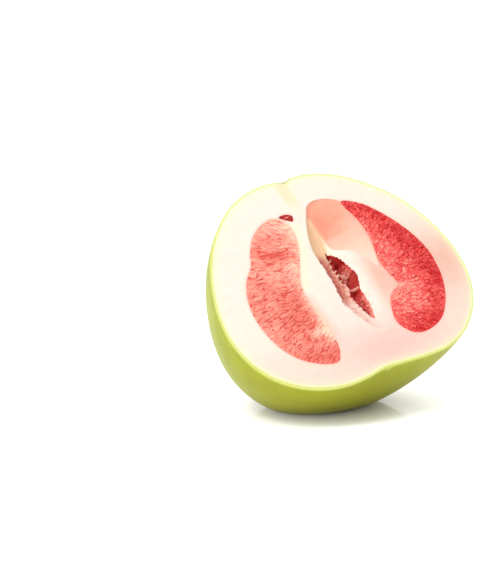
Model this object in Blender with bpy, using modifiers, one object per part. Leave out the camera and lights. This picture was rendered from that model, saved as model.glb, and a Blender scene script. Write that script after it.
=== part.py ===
# Half a pomelo, cut lengthwise through its stem end and laid on its round side.
#
# Every tissue that shows at the cut is a solid of its own: the green skin, the white pith,
# the pulp segments and the dark pulp deep in the split core. The fruit is built upright in its
# own frame, with the stem axis along +Z, the cut face on Y = 0 and the fruit behind it at +Y.
# An empty then tilts it to the way it lies. The surface it rests on is Z = 0, and the origin
# is under the middle of its box.

from math import cos, pi, radians, sin

import bmesh
import bpy
from mathutils import Vector

MM = 0.001

# Outline of the whole fruit: radius and height in mm, from the stem dimple to the blossom end
FRUIT_OUTLINE = [(0, 69), (18.5, 68.5), (37, 64), (53.5, 53.5), (67, 38), (79, 15),
                 (84, -10), (79.5, -33), (66, -55), (45.5, -67.5), (22, -69.5), (0, -67.5)]
OUTLINE_SPANS = 2             # straight spans between two outline points
TURN_STEPS = 56               # facets round the whole fruit

SKIN_THICKNESS = 1.8
GAP = 0.3                     # clearance between neighbouring tissues
ROOM_GROWTH = GAP * 1.4       # a sharp edge grown along its slanting normal still clears by GAP
FLAT_DEPTH = 3.5              # how far the weight of the half flattens its underside

# How the half lies, in degrees
FACE_TILT = 41.65             # the cut face leans back from upright
FACE_TURN = 21.6              # and turns to the right
STEM_LEAN = -12.6             # the stem axis leans to the left within the cut face

# Outlines on the cut face, in mm: X across the face, Z up the stem axis
LEFT_SEGMENT = [(-18, 45), (-11, 39.5), (-13, 25), (-20, 6), (-26, -7), (-24, -24),
                (-22.5, -40), (-26, -54.5), (-37, -54.5), (-50, -47.5), (-60, -30), (-62.5, -12),
                (-57.5, 8), (-48, 22), (-37, 38), (-27, 45.5)]
RIGHT_SEGMENT = [(29, 44.5), (36, 43), (48, 33), (57, 21), (63.5, 6), (66.5, -12), (63, -33),
                 (52, -46.5), (35, -54), (24, -50), (21, -39.5), (27, -25), (34, -18), (32, -4),
                 (34.5, 14), (33, 30)]
UPPER_SEGMENT = [(-15, 45.5), (-10, 46), (-6.5, 43.5), (-8, 40.8), (-11.5, 42.6)]
POCKET = [(4, 44), (7.5, 49.5), (13, 51), (21, 49), (26.5, 44.5), (30, 32), (32, 20), (30.5, 6),
          (29, -4), (25, 4), (18, 12), (9, 17), (2, 17.5), (-4.5, 22), (-3, 32)]
CORE_SPLIT = [(-5, 15), (2, 14.5), (8, 9), (12, -5), (10, -20), (9, -35), (5, -40), (-1, -33),
              (-5, -21), (-4.5, -8), (-4.5, 4)]

SEGMENT_SWEEP = 32            # degrees a segment reaches round the stem axis
SWEEP_STEPS = 5
POCKET_LEFT_DEPTH = 11        # the empty pocket is deepest beside its left wall
POCKET_RIGHT_DEPTH = 2
MIDDLE_SEGMENT_BACK = 26      # how deep the segment under the pocket reaches
CORE_DEPTH = 16
CORE_PULP_TOP = 8             # the dark pulp starts this far below the cut face
FACE_CURVE_SPANS = 2          # straight spans between two points of an outline on the face

CLEAR = 150                   # cutters reach this far past the fruit
PLUG_FRONT = -5               # a room's cutter starts this far in front of the cut face
SHARP_ANGLE = 45              # degrees; softer edges are shaded smooth
MERGE_DISTANCE = 0.05

COLOURS = {                   # linear RGB and roughness
    "skin": ((0.50, 0.55, 0.06), 0.4),
    "pith": ((0.96, 0.87, 0.78), 0.7),
    "left_segment": ((0.90, 0.30, 0.21), 0.35),
    "right_segment": ((0.72, 0.05, 0.04), 0.35),
    "middle_segment": ((0.90, 0.42, 0.28), 0.4),
    "upper_segment": ((0.38, 0.03, 0.04), 0.35),
    "core_pulp": ((0.30, 0.015, 0.02), 0.3),
}


def clear_scene():
    for obj in list(bpy.data.objects):
        bpy.data.objects.remove(obj, do_unlink=True)


def new_collection(name):
    collection = bpy.data.collections.new(name)
    bpy.context.scene.collection.children.link(collection)
    return collection


def tissue_material(name):
    colour, roughness = COLOURS[name]
    material = bpy.data.materials.new(name)
    material.use_nodes = True
    shader = material.node_tree.nodes["Principled BSDF"]
    shader.inputs["Base Color"].default_value = (*colour, 1.0)
    shader.inputs["Roughness"].default_value = roughness
    shader.inputs["Metallic"].default_value = 0.0
    return material


def spline_point(before, start, end, after, share):
    """A point on the Catmull-Rom curve between start and end."""
    square, cube = share * share, share * share * share
    return 0.5 * (2 * start + (end - before) * share
                  + (2 * before - 5 * start + 4 * end - after) * square
                  + (3 * start - before - 3 * end + after) * cube)


def turned_curve(outline, spans):
    """Smooth open curve through an outline whose two ends lie on the turning axis."""
    knots = [Vector(point) for point in outline]
    before = Vector((-knots[1].x, knots[1].y))
    after = Vector((-knots[-2].x, knots[-2].y))
    run = [before, *knots, after]
    points = []
    for index in range(1, len(run) - 2):
        for step in range(spans):
            points.append(spline_point(*run[index - 1:index + 3], step / spans))
    points.append(knots[-1])
    return points


def closed_curve(outline, spans):
    """Smooth closed curve through an outline."""
    knots = [Vector(point) for point in outline]
    count = len(knots)
    points = []
    for index in range(count):
        around = [knots[(index + offset) % count] for offset in (-1, 0, 1, 2)]
        for step in range(spans):
            points.append(spline_point(*around, step / spans))
    return points


def inset_curve(points, distance):
    """The turned curve moved inwards by a distance, with its ends still on the axis."""
    moved = []
    last = len(points) - 1
    for index, point in enumerate(points):
        if index in (0, last):
            side = -1 if index == 0 else 1
            moved.append(Vector((0, point.y + side * distance)))
            continue
        along = (points[index + 1] - points[index - 1]).normalized()
        inwards = Vector((along.y, -along.x))
        moved.append(point + inwards * distance)
    return moved


def link(name, mesh, collection, holder):
    obj = bpy.data.objects.new(name, mesh)
    collection.objects.link(obj)
    obj.parent = holder
    return obj


def make_cutter(obj):
    obj.hide_render = True
    obj.display_type = "WIRE"
    return obj


def turned_body(name, curve, collection, holder):
    """The whole fruit, or its inside, turned from a curve about the stem axis."""
    half_step = pi / TURN_STEPS
    bm = bmesh.new()
    row = []
    for point in curve:
        radius = point.x * MM
        row.append(bm.verts.new((radius * cos(half_step), radius * sin(half_step), point.y * MM)))
    for upper, lower in zip(row, row[1:]):
        bm.edges.new((upper, lower))
    mesh = bpy.data.meshes.new(name)
    bm.to_mesh(mesh)
    bm.free()
    obj = link(name, mesh, collection, holder)
    screw = obj.modifiers.new("turn", "SCREW")
    screw.axis = "Z"
    screw.angle = 2 * pi
    screw.steps = TURN_STEPS
    screw.render_steps = TURN_STEPS
    screw.use_merge_vertices = True
    screw.merge_threshold = MERGE_DISTANCE * MM
    screw.use_smooth_shade = True
    return obj


def block(name, low, high, collection, holder=None):
    """An axis-aligned box between two corners given in mm."""
    bm = bmesh.new()
    bmesh.ops.create_cube(bm, size=1.0)
    low, high = Vector(low), Vector(high)
    size = (high - low) * MM
    middle = (low + high) * 0.5 * MM
    bmesh.ops.scale(bm, vec=size, verts=bm.verts)
    bmesh.ops.translate(bm, vec=middle, verts=bm.verts)
    mesh = bpy.data.meshes.new(name)
    bm.to_mesh(mesh)
    bm.free()
    return make_cutter(link(name, mesh, collection, holder))


def face_outline(bm, outline, depth):
    """One face on the cut plane's outline, at a depth behind the cut."""
    ring = [bm.verts.new((p.x * MM, depth * MM, p.y * MM))
            for p in closed_curve(outline, FACE_CURVE_SPANS)]
    return bm.faces.new(ring)


def finish_mesh(bm, name):
    bmesh.ops.recalc_face_normals(bm, faces=bm.faces)
    mesh = bpy.data.meshes.new(name)
    bm.to_mesh(mesh)
    bm.free()
    mesh.shade_smooth()
    mesh.set_sharp_from_angle(angle=radians(SHARP_ANGLE))
    return mesh


def swept_segment(name, outline, sweep, collection, holder):
    """A pulp segment: its outline at the cut, turned about the stem axis into the fruit."""
    bm = bmesh.new()
    face = face_outline(bm, outline, 0)
    side = 1 if outline[0][0] > 0 else -1
    bmesh.ops.spin(bm, geom=[face, *face.edges, *face.verts], cent=(0, 0, 0), axis=(0, 0, 1),
                   angle=side * radians(sweep), steps=SWEEP_STEPS, use_duplicate=False)
    return link(name, finish_mesh(bm, name), collection, holder)


def straight_plug(name, outline, front, back, collection, holder):
    """A plug with a face outline, straight from one depth to another."""
    bm = bmesh.new()
    face = face_outline(bm, outline, front)
    pushed = bmesh.ops.extrude_face_region(bm, geom=[face])
    moved = [item for item in pushed["geom"] if isinstance(item, bmesh.types.BMVert)]
    bmesh.ops.translate(bm, vec=(0, (back - front) * MM, 0), verts=moved)
    return link(name, finish_mesh(bm, name), collection, holder)


def grown_cutter(obj, growth, collection, holder):
    """A cutter the shape of an object, larger by a little all round."""
    cutter = make_cutter(link(obj.name + "_room", obj.data, collection, holder))
    grow = cutter.modifiers.new("grow", "DISPLACE")
    grow.strength = growth * MM
    grow.mid_level = 0.0
    return cutter


def cut(obj, cutter):
    boolean = obj.modifiers.new("cut_" + cutter.name, "BOOLEAN")
    boolean.operation = "DIFFERENCE"
    boolean.solver = "EXACT"
    boolean.object = cutter


def shrunk(outline, distance):
    """A rough inward offset of an outline, for a plug that stands inside its own room."""
    middle = sum((Vector(point) for point in outline), Vector((0, 0))) / len(outline)
    result = []
    for point in outline:
        arm = Vector(point) - middle
        result.append(tuple(middle + arm * (1 - distance / arm.length)))
    return result


def set_in_place(tilt, body):
    """Puts the lowest point below the resting surface and the box's middle over the origin."""
    turned = tilt.rotation_euler.to_matrix()
    bpy.context.view_layer.update()
    evaluated = body.evaluated_get(bpy.context.evaluated_depsgraph_get())
    corners = [turned @ vertex.co for vertex in evaluated.data.vertices]
    low = [min(point[axis] for point in corners) for axis in range(3)]
    high = [max(point[axis] for point in corners) for axis in range(3)]
    tilt.location = (-(low[0] + high[0]) / 2, -(low[1] + high[1]) / 2, -low[2] - FLAT_DEPTH * MM)


def build():
    clear_scene()
    parts = new_collection("half_pomelo")
    tools = new_collection("cutters")
    tilt = bpy.data.objects.new("tilt", None)
    parts.objects.link(tilt)
    tilt.rotation_mode = "YXZ"
    tilt.rotation_euler = (-radians(FACE_TILT), radians(STEM_LEAN), radians(FACE_TURN))

    outer_curve = turned_curve(FRUIT_OUTLINE, OUTLINE_SPANS)
    other_half = block("other_half", (-CLEAR, -CLEAR, -CLEAR), (CLEAR, 0, CLEAR), tools, tilt)

    # Skin: the fruit's outside less its inside
    skin = turned_body("skin", outer_curve, parts, tilt)
    cut(skin, other_half)
    set_in_place(tilt, skin)
    inside = turned_body("skin_inside", inset_curve(outer_curve, SKIN_THICKNESS), tools, tilt)
    make_cutter(inside)
    under_skin = block("under_skin", (-CLEAR, -CLEAR, -CLEAR), (CLEAR, CLEAR, 0), tools)
    inside_floor = block("inside_floor", (-CLEAR, -CLEAR, -CLEAR),
                         (CLEAR, CLEAR, SKIN_THICKNESS), tools)
    cut(inside, inside_floor)
    cut(skin, under_skin)
    cut(skin, inside)

    # Pith: everything white, with room for the pulp, the empty pocket and the split core
    pith = turned_body("pith", inset_curve(outer_curve, SKIN_THICKNESS + GAP), parts, tilt)
    cut(pith, other_half)
    pith_floor = block("pith_floor", (-CLEAR, -CLEAR, -CLEAR),
                       (CLEAR, CLEAR, SKIN_THICKNESS + GAP), tools)
    cut(pith, pith_floor)

    left = swept_segment("left_segment", LEFT_SEGMENT, SEGMENT_SWEEP, parts, tilt)
    right = swept_segment("right_segment", RIGHT_SEGMENT, SEGMENT_SWEEP, parts, tilt)
    upper = swept_segment("upper_segment", UPPER_SEGMENT, SEGMENT_SWEEP, parts, tilt)
    rooms = {}
    for segment in (left, right, upper):
        rooms[segment.name] = grown_cutter(segment, ROOM_GROWTH, tools, tilt)
        cut(pith, rooms[segment.name])

    # Middle segment: only its bared front shows, at the back of the empty pocket
    middle = straight_plug("middle_segment", shrunk(POCKET, ROOM_GROWTH), POCKET_RIGHT_DEPTH,
                           MIDDLE_SEGMENT_BACK, parts, tilt)
    slope_run = max(x for x, z in POCKET) - min(x for x, z in POCKET)
    slope = (POCKET_LEFT_DEPTH - POCKET_RIGHT_DEPTH) / slope_run
    lean_cut = block("pocket_slope", (-CLEAR, -CLEAR, -CLEAR), (CLEAR, 0, CLEAR), tools, tilt)
    lean_cut.rotation_euler = (0, 0, -slope)
    pocket_right = max(x for x, z in POCKET)
    lean_cut.location = (pocket_right * MM, POCKET_RIGHT_DEPTH * MM, 0)
    cut(middle, lean_cut)
    pocket_room = straight_plug("pocket_room", POCKET, PLUG_FRONT, MIDDLE_SEGMENT_BACK + GAP,
                                tools, tilt)
    cut(pith, make_cutter(pocket_room))

    # Split core: a narrow cleft with dark pulp at its bottom
    core = straight_plug("core_pulp", shrunk(CORE_SPLIT, ROOM_GROWTH), CORE_PULP_TOP,
                         CORE_DEPTH - GAP, parts, tilt)
    core_room = straight_plug("core_room", CORE_SPLIT, PLUG_FRONT, CORE_DEPTH, tools, tilt)
    cut(pith, make_cutter(core_room))
    cut(middle, grown_cutter(core, ROOM_GROWTH, tools, tilt))
    cut(middle, rooms["right_segment"])

    for piece in (skin, pith, left, right, middle, upper, core):
        piece.data.materials.append(tissue_material(piece.name))


build()
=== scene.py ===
from math import cos, pi, radians, sin

import bpy
import numpy as np
from mathutils import Euler, Matrix, Vector, noise
from mathutils.geometry import delaunay_2d_cdt
from mathutils.kdtree import KDTree


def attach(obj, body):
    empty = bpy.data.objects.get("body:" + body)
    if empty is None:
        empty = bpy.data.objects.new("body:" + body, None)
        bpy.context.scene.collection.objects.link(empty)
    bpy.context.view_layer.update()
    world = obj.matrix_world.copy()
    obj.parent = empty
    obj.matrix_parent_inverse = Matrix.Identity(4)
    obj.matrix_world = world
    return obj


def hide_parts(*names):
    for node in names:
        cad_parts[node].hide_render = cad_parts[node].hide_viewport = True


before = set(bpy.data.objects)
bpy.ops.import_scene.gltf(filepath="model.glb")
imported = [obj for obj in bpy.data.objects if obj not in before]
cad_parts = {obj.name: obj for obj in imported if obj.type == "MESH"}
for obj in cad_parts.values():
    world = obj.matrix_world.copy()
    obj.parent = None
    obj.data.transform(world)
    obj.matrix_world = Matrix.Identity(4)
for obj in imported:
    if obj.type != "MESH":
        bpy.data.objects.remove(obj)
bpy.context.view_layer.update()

mm = 0.001
rng = np.random.default_rng(20)

# How the half lies, in degrees: the cut face leans back, turns right, and the stem leans left
lie = {"faceTilt": 41.65, "faceTurn": 21.6, "stemLean": -12.6}


# Small tools

def srgb(text):
    # sRGB hex to the linear values that a shader takes
    parts = [int(text[i:i + 2], 16) / 255 for i in (0, 2, 4)]
    return [c / 12.92 if c <= 0.04045 else ((c + 0.055) / 1.055) ** 2.4 for c in parts]


def rgba(text):
    return (*srgb(text), 1.0)


def paint(base, count, layers):
    # layers of (share, colour) go over the base colour one after another
    colours = np.tile(srgb(base), (count, 1))
    for share, text in layers:
        share = np.clip(share, 0, 1)[:, None]
        colours = colours * (1 - share) + np.array(srgb(text)) * share
    return colours


def smoothStep(low, high, value):
    share = np.clip((value - low) / (high - low), 0, 1)
    return share * share * (3 - 2 * share)


def hump(value, centre, width):
    # 1 at the centre, falling away on both sides over the width
    return np.exp(-((value - centre) / width) ** 2)


def ripple(points, wavelength, seed):
    # soft noise from -1 to 1 over places in mm
    return np.array([noise.noise(Vector((p[0] / wavelength, p[1] / wavelength, seed)))
                     for p in points])


def unit(vectors):
    return vectors / np.maximum(np.linalg.norm(vectors, axis=1), 1e-9)[:, None]


def feed(tree, node, inputs):
    # an input is a value, a socket, or a node that stands for its first usable output
    for name, value in inputs.items():
        if isinstance(value, bpy.types.Node):
            value = next(socket for socket in value.outputs if not socket.is_unavailable)
        if isinstance(value, bpy.types.NodeSocket):
            tree.links.new(value, node.inputs[name])
        else:
            node.inputs[name].default_value = value


def addNode(tree, kind, inputs=None, **settings):
    node = tree.nodes.new(kind)
    for name, value in settings.items():
        setattr(node, name, value)
    feed(tree, node, inputs or {})
    return node


def splinePoint(before, start, end, after, share):
    square, cube = share ** 2, share ** 3
    return 0.5 * (2 * start + (end - before) * share
                  + (2 * before - 5 * start + 4 * end - after) * square
                  + (3 * start - before - 3 * end + after) * cube)


def splineRun(run, steps):
    # points on the curve through every point of run but its first and last
    fine = [splinePoint(*run[i:i + 4], share)
            for i in range(len(run) - 3) for share in np.arange(steps) / steps]
    return np.array(fine + [run[-2]])


def smoothLoop(knots, spacing):
    # closed curve through given points, evenly spaced in mm
    knots = np.array(knots, float)
    fine = splineRun(np.vstack([knots[-1:], knots, knots[:2]]), 16)
    run = np.concatenate([[0], np.cumsum(np.linalg.norm(np.diff(fine, axis=0), axis=1))])
    steps = np.linspace(0, run[-1], max(8, int(run[-1] / spacing)), endpoint=False)
    return np.stack([np.interp(steps, run, fine[:, axis]) for axis in (0, 1)], axis=1)


def isInside(points, loop):
    x, z = points[:, 0], points[:, 1]
    found = np.zeros(len(points), bool)
    for (x1, z1), (x2, z2) in zip(loop, np.roll(loop, -1, axis=0)):
        if z1 != z2:
            found ^= ((z1 > z) != (z2 > z)) & (x < (x2 - x1) * (z - z1) / (z2 - z1) + x1)
    return found


def distanceTo(points, line, closed=True):
    line = np.array(line, float)
    best = np.full(len(points), np.inf)
    ends = np.roll(line, -1, axis=0) if closed else line[1:]
    for start, end in zip(line, ends):
        along = end - start
        share = np.clip(((points - start) @ along) / max(along @ along, 1e-9), 0, 1)
        best = np.minimum(best, np.linalg.norm(points - (start + share[:, None] * along), axis=1))
    return best


def nearLine(points, line, width):
    # 1 on an open line, falling away over the width in mm
    return hump(distanceTo(points, line, False), 0, width)


# Where the fruit is: its own axes are X across the face, Y into the fruit, Z up the stem

turn = np.array(Euler((-radians(lie["faceTilt"]), radians(lie["stemLean"]),
                       radians(lie["faceTurn"])), "YXZ").to_matrix())


def cadPoints(node):
    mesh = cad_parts[node].data
    flat = np.empty(len(mesh.vertices) * 3, np.float32)
    mesh.vertices.foreach_get("co", flat)
    return flat.reshape(-1, 3).astype(float) @ turn


skinCad = cadPoints("skin")
stemTop = 69.0                # mm above the fruit's middle
fruitOrigin = np.array([(skinCad[:, 0].min() + skinCad[:, 0].max()) / 2, skinCad[:, 1].min(),
                        skinCad[:, 2].max() - stemTop * mm])


def toFrame(points):
    return (np.asarray(points, float) * mm + fruitOrigin) @ turn.T


flatSoften = 0.9              # mm over which the flat underside rounds into the swell


def restOnFloor(points, height):
    # the weight of the half presses its underside flat; points in frame metres, height in mm
    soften = flatSoften * mm
    over = points[:, 2] - height * mm
    near = over < 6 * soften
    points = points.copy()
    points[near, 2] = height * mm + (over[near] + np.sqrt(over[near] ** 2 + soften ** 2)) / 2
    return points


sharpAngle = 62               # degrees; softer edges are shaded smooth


def newPiece(name, points, faces, material):
    mesh = bpy.data.meshes.new(name)
    mesh.from_pydata([tuple(p) for p in points], [], [list(f) for f in faces])
    mesh.validate()
    mesh.update()
    mesh.shade_smooth()
    mesh.set_sharp_from_angle(angle=radians(sharpAngle))
    mesh.materials.append(material)
    piece = bpy.data.objects.new(name, mesh)
    bpy.context.scene.collection.objects.link(piece)
    return piece


def declare(piece, nodes):
    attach(piece, "root")
    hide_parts(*nodes)


def setColours(mesh, name, colours):
    layer = mesh.attributes.new(name, "FLOAT_COLOR", "POINT")
    full = np.ones((len(colours), 4), np.float32)
    full[:, :3] = colours
    layer.data.foreach_set("color", full.ravel())


def setValues(mesh, name, values):
    layer = mesh.attributes.new(name, "FLOAT", "POINT")
    layer.data.foreach_set("value", np.asarray(values, np.float32))


def setVectors(mesh, name, vectors):
    layer = mesh.attributes.new(name, "FLOAT_VECTOR", "POINT")
    layer.data.foreach_set("vector", np.asarray(vectors, np.float32).ravel())


# Materials

def newMaterial(name, surface):
    # surface holds what is the same all over, such as roughness
    material = bpy.data.materials.new(name)
    material.use_nodes = True
    tree = material.node_tree
    tree.nodes.clear()
    shader = addNode(tree, "ShaderNodeBsdfPrincipled", surface)
    addNode(tree, "ShaderNodeOutputMaterial", {"Surface": shader})
    return material, tree, shader


def objectNoise(tree, sizeMm, detail=3.0, roughness=0.55):
    # noise whose lumps are sizeMm across, on Object coordinates in metres
    place = addNode(tree, "ShaderNodeTexCoord")
    return addNode(tree, "ShaderNodeTexNoise",
                   {"Vector": place.outputs["Object"], "Scale": 1 / (sizeMm * mm),
                    "Detail": detail, "Roughness": roughness})


def rindMaterial():
    # waxed citrus flavedo: a soft sheen over fine oil glands, mottled yellow and green
    look = {"glandSpacing": 1.8, "mottleSize": 14.0, "green": "878f18", "yellow": "a0a624",
            "gland": "869a24", "glandShare": 0.12, "glandDepth": 0.3}
    material, tree, shader = newMaterial("waxedFlavedo", {
        "Roughness": 0.42, "IOR": 1.38, "Specular IOR Level": 0.18})
    place = addNode(tree, "ShaderNodeTexCoord")
    mottle = objectNoise(tree, look["mottleSize"], 4.0)
    glands = addNode(tree, "ShaderNodeTexVoronoi", {"Vector": place.outputs["Object"],
                                                    "Scale": 1 / (look["glandSpacing"] * mm)})
    ramp = addNode(tree, "ShaderNodeValToRGB", {"Fac": mottle})
    ends = zip(ramp.color_ramp.elements, (0.2, 0.8), ("green", "yellow"))
    for element, position, name in ends:
        element.position = position
        element.color = rgba(look[name])
    dots = addNode(tree, "ShaderNodeMapRange",
                   {"Value": glands.outputs["Distance"], "From Min": 0.0, "From Max": 0.55,
                    "To Min": look["glandShare"], "To Max": 0.0})
    speck = addNode(tree, "ShaderNodeMix", {"Factor": dots, "A": ramp, "B": rgba(look["gland"])},
                    data_type="RGBA")
    tint = addNode(tree, "ShaderNodeVertexColor", layer_name="tint")
    share = addNode(tree, "ShaderNodeAttribute", attribute_name="tintShare")
    both = addNode(tree, "ShaderNodeMix", {"Factor": share.outputs["Fac"], "A": speck, "B": tint},
                   data_type="RGBA")
    bump = addNode(tree, "ShaderNodeBump", {"Strength": 0.4, "Distance": look["glandDepth"] * mm,
                                            "Height": glands.outputs["Distance"]})
    feed(tree, shader, {"Base Color": both, "Normal": bump})
    return material


def tissueMaterial(name, look, surface):
    # a tinted tissue with faint clouds of light and dark, and a fine grain; sizes in mm
    material, tree, shader = newMaterial(name, surface)
    tint = addNode(tree, "ShaderNodeVertexColor", layer_name="tint")
    cloud = objectNoise(tree, look["cloudSize"], look["cloudDetail"])
    shade = addNode(tree, "ShaderNodeMapRange",
                    {"Value": cloud, "From Min": 0.3, "From Max": 0.7,
                     "To Min": 1 - look["contrast"], "To Max": 1 + look["contrast"]})
    mixed = addNode(tree, "ShaderNodeVectorMath", operation="SCALE")
    feed(tree, mixed, {0: tint, "Scale": shade})
    grain = objectNoise(tree, look["grainSize"], look["grainDetail"], look["grainRoughness"])
    bump = addNode(tree, "ShaderNodeBump", {"Strength": look["bump"], "Height": grain,
                                            "Distance": look["bumpDepth"] * mm})
    feed(tree, shader, {"Base Color": mixed, "Normal": bump})
    return material


def fleshMaterial(name, deep, middle, pale, roughness=0.32):
    # juice sacs: thin wet skins over coloured juice, so bright with small glints
    look = {"grainSize": 2.2, "grainShare": 0.35, "bumpSize": 0.9, "bumpDepth": 0.2}
    material, tree, shader = newMaterial(name, {
        "Roughness": roughness, "IOR": 1.36, "Subsurface Weight": 0.35,
        "Subsurface Radius": (1.0, 0.35, 0.25), "Subsurface Scale": 1.2 * mm})
    tone = addNode(tree, "ShaderNodeAttribute", attribute_name="tone")
    sac = addNode(tree, "ShaderNodeAttribute", attribute_name="sacTone")
    grain = objectNoise(tree, look["grainSize"])
    own = addNode(tree, "ShaderNodeMath", {0: tone.outputs["Fac"], 1: sac.outputs["Fac"]},
                  operation="ADD")
    centred = addNode(tree, "ShaderNodeMath", {0: grain, 1: 0.5}, operation="SUBTRACT")
    level = addNode(tree, "ShaderNodeMath", {0: centred, 1: look["grainShare"], 2: own},
                    operation="MULTIPLY_ADD")
    ramp = addNode(tree, "ShaderNodeValToRGB", {"Fac": level})
    ramp.color_ramp.elements.new(0.5)
    stops = zip(ramp.color_ramp.elements, (0.08, 0.5, 0.95), (deep, middle, pale))
    for element, position, text in stops:
        element.position = position
        element.color = rgba(text)
    fine = objectNoise(tree, look["bumpSize"], 2.0)
    bump = addNode(tree, "ShaderNodeBump", {"Strength": 0.25, "Distance": look["bumpDepth"] * mm,
                                            "Height": fine})
    feed(tree, shader, {"Base Color": ramp, "Normal": bump})
    return material


waxedRind = rindMaterial()
# albedo: a dry, spongy white that light soaks into
spongyPith = tissueMaterial("spongyAlbedo", {
    "cloudSize": 5.0, "cloudDetail": 3.0, "contrast": 0.03, "grainSize": 1.4, "grainDetail": 4.0,
    "grainRoughness": 0.6, "bump": 0.22, "bumpDepth": 0.3}, {
    "Roughness": 0.75, "IOR": 1.4, "Subsurface Weight": 0.25,
    "Subsurface Radius": (1.0, 0.7, 0.5), "Subsurface Scale": 1.5 * mm})
# segment wall: a smooth translucent film, satin rather than wet
segmentFilm = tissueMaterial("segmentFilm", {
    "cloudSize": 6.0, "cloudDetail": 4.0, "contrast": 0.05, "grainSize": 2.5, "grainDetail": 3.0,
    "grainRoughness": 0.55, "bump": 0.15, "bumpDepth": 0.25}, {
    "Roughness": 0.42, "IOR": 1.38, "Subsurface Weight": 0.3,
    "Subsurface Radius": (1.0, 0.5, 0.35), "Subsurface Scale": 1.5 * mm})
salmonSacs = fleshMaterial("salmonJuiceSacs", "d9574a", "fc9a87", "ffd0b6")
redSacs = fleshMaterial("redJuiceSacs", "cc1a1e", "f4605a", "ffb09c")
crimsonSacs = fleshMaterial("crimsonJuiceSacs", "a0181c", "e05a52", "ffc0ae", 0.18)
print("materials ready")


# Outline of the cut face, in mm from the fruit's middle

faceOutline = {
    "right": [(0, 67.6), (5.5, 69.6), (17, 69.4), (30, 66), (43, 59.6), (55.5, 49.8),
              (67.5, 37), (77, 20.5), (82.8, 3), (84.5, -13), (82.3, -30), (74, -47), (60, -60.5),
              (44, -67), (28, -68.3), (14, -68), (0, -67.6)],
    "left": [(0, 67.6), (7, 69.4), (18, 69.2), (30, 66.2), (42, 60.6), (54, 51), (64.5, 39),
             (73, 25), (79.3, 9.5), (83.4, -7), (84, -23.5), (80.2, -38.5), (72, -52), (60, -62),
             (46, -68.2), (30.5, -71), (15.5, -70.2), (0, -67.6)],
}
skinThickness = 1.3
swellBehind = 0.015


def polarCurve(knots):
    # radius at each angle from the stem, through given points
    knots = np.array(knots, float)
    mirror = (-1, 1)
    fine = splineRun(np.vstack([knots[1] * mirror, knots, knots[-2] * mirror]), 12)
    return np.arctan2(fine[:, 0], fine[:, 1]), np.linalg.norm(fine, axis=1)


curves = {side: polarCurve(knots) for side, knots in faceOutline.items()}


def fruitRadius(angle, share):
    # share 0 is the right lobe, 1 the left; the body swells a little behind the cut
    right = np.interp(angle, *curves["right"])
    left = np.interp(angle, *curves["left"])
    swell = 1 + 4 * swellBehind * share * (1 - share)
    return (right * (1 - share) + left * share) * swell


def faceLoop(inset, count):
    angle = np.linspace(-pi, pi, count, endpoint=False)
    radius = fruitRadius(np.abs(angle), (angle < 0).astype(float)) - inset
    return np.stack([radius * np.sin(angle), radius * np.cos(angle)], axis=1)


# Rind, in mm

rind = {"rows": 190, "columns": 190, "lumpSize": 7.0, "lumpHeight": 0.07, "glandSize": 1.7,
        "glandPit": 0.035, "innerFloor": 1.4, "scarRadius": (3.5, 5.5), "rimShare": 0.75,
        "rimDepth": 0.45, "paintedShadeTop": 62.0, "paintedShadeShare": 0.9, "contactShadeHeight": 7.0}


def shellGrid(inset, rows, columns):
    angle = np.linspace(0, pi, rows + 1)[1:-1]
    azimuth = np.linspace(0, pi, columns + 1)
    a, b = np.meshgrid(angle, azimuth, indexing="ij")
    share = (1 - np.cos(b)) / 2
    radius = fruitRadius(a, share) - inset
    points = np.stack([radius * np.sin(a) * np.cos(b), radius * np.sin(a) * np.sin(b),
                       radius * np.cos(a)], axis=-1).reshape(-1, 3)
    top = np.array([[0, 0, fruitRadius(0.0, 0.0) - inset]])
    bottom = np.array([[0, 0, -(fruitRadius(pi, 0.0) - inset)]])
    return np.vstack([points, top, bottom])


def gridFaces(rows, columns, start, flip):
    # rows without the two poles, whose vertices come last
    faces = []
    wide = columns + 1
    for row in range(rows - 2):
        for column in range(columns):
            corner = start + row * wide + column
            faces.append([corner, corner + wide, corner + wide + 1, corner + 1])
    top = start + (rows - 1) * wide
    bottom = top + 1
    last = start + (rows - 2) * wide
    for column in range(columns):
        faces.append([top, start + column, start + column + 1])
        faces.append([last + column + 1, last + column, bottom])
    return [face[::-1] for face in faces] if flip else faces


def rindTint(outer, inner, outerHeight):
    # the tint and how much of it covers the green: all at the cut edge and the scar, and painted
    # shade below
    x, y, z = np.vstack([outer, inner]).T
    isOuter = np.arange(len(x)) < len(outer)
    height = np.concatenate([outerHeight, np.zeros(len(inner))])
    scar = (1 - smoothStep(*rind["scarRadius"], np.hypot(x, y))) * (z > 0)
    # painted shade: the lower skin takes the olive tint, the more the nearer it lies to the floor
    under = 1 - smoothStep(-4, rind["paintedShadeTop"], height)
    share = rind["rimShare"] * (1 - smoothStep(0.0, rind["rimDepth"], y))
    share = np.maximum(np.maximum(share, scar), rind["paintedShadeShare"] * under)
    # painted shade: browner still where the skin meets the floor
    lowest = 1 - smoothStep(0, rind["contactShadeHeight"], height)
    # the cut edge is pale yellow, paler to the upper right; the outer skin's olive and the brown by
    # the floor are painted shade
    colours = paint("dfe28a", len(x), [
        (0.8 * smoothStep(-30, 40, x + z), "e4ecb0"),
        (isOuter * smoothStep(0.6, 3, y), "8a891c"),
        (isOuter * 0.8 * lowest, "97905c"),
        (isOuter * scar, "b9a468")])
    return colours, np.where(isOuter, share, 1.0)


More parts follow.
